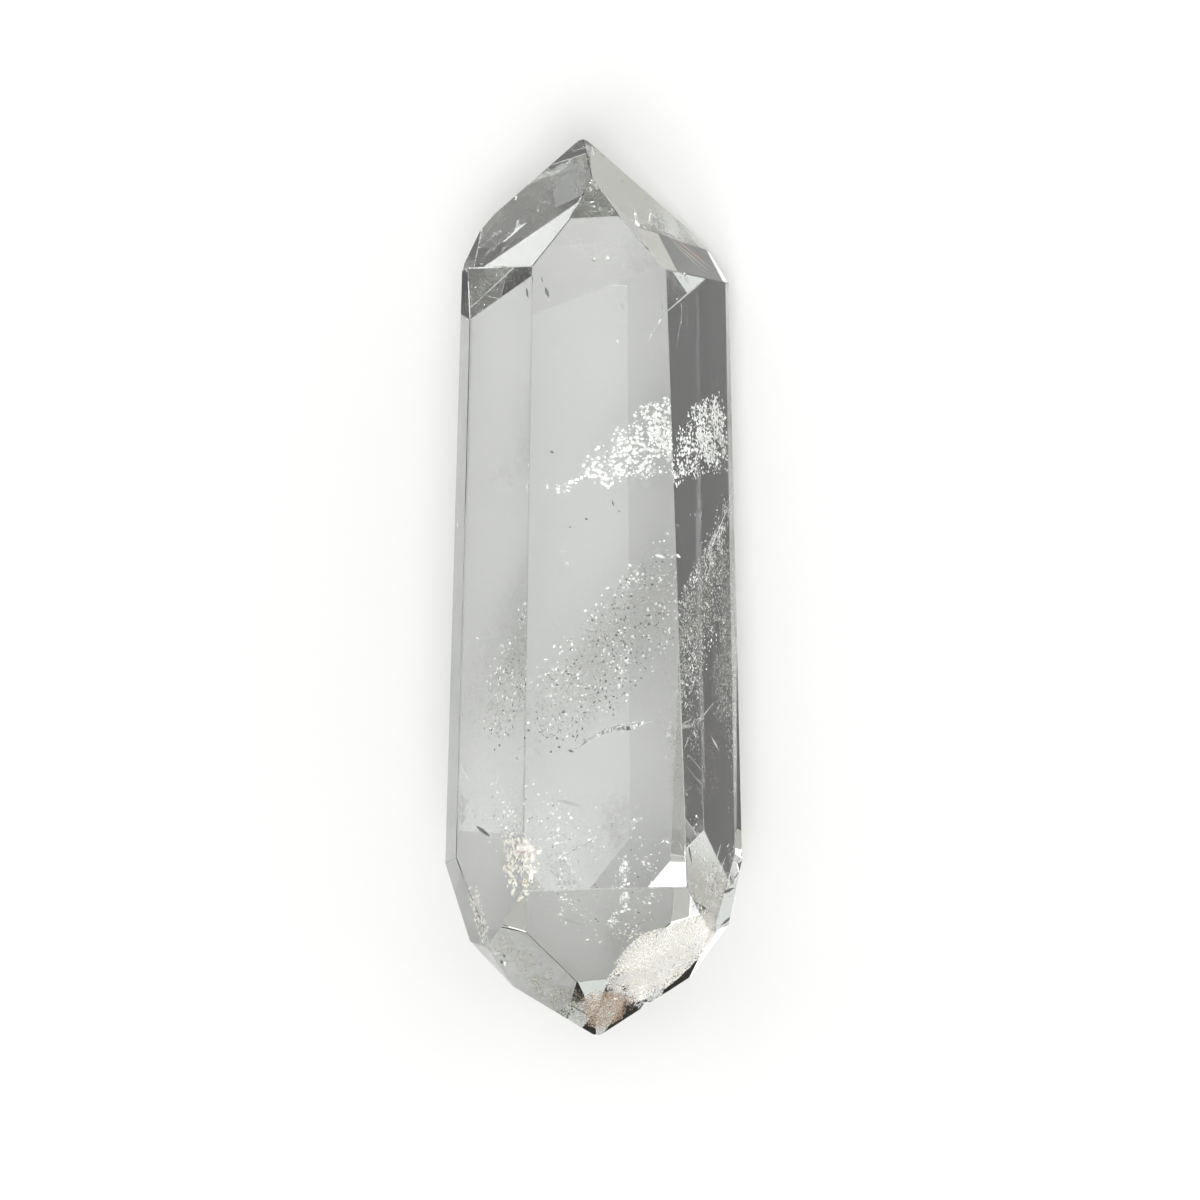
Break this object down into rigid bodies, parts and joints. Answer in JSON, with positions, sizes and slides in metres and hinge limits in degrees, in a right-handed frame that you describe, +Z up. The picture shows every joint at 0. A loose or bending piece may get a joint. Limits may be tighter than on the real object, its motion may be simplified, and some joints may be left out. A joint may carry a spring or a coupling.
{
  "type": "double terminated quartz point",
  "caption": "Long clear quartz crystal with flat prism faces and a faceted point at each end, lying on its broad back face.",
  "frame": {"origin": "on the surface that the crystal lies on, under the middle of its outline", "axes": "+Z up from the resting face, +Y along the crystal towards its first tip, +X to the right as seen from above with that tip away"},
  "size_m": [0.0248, 0.0758, 0.0217],
  "materials": {
    "rock_crystal": "clear colourless quartz with natural faces, glossy all over, with fine veils and healed cracks inside"
  },
  "bodies": {
    "root": {"quartz_point": "rock_crystal"}
  },
  "joints": []
}
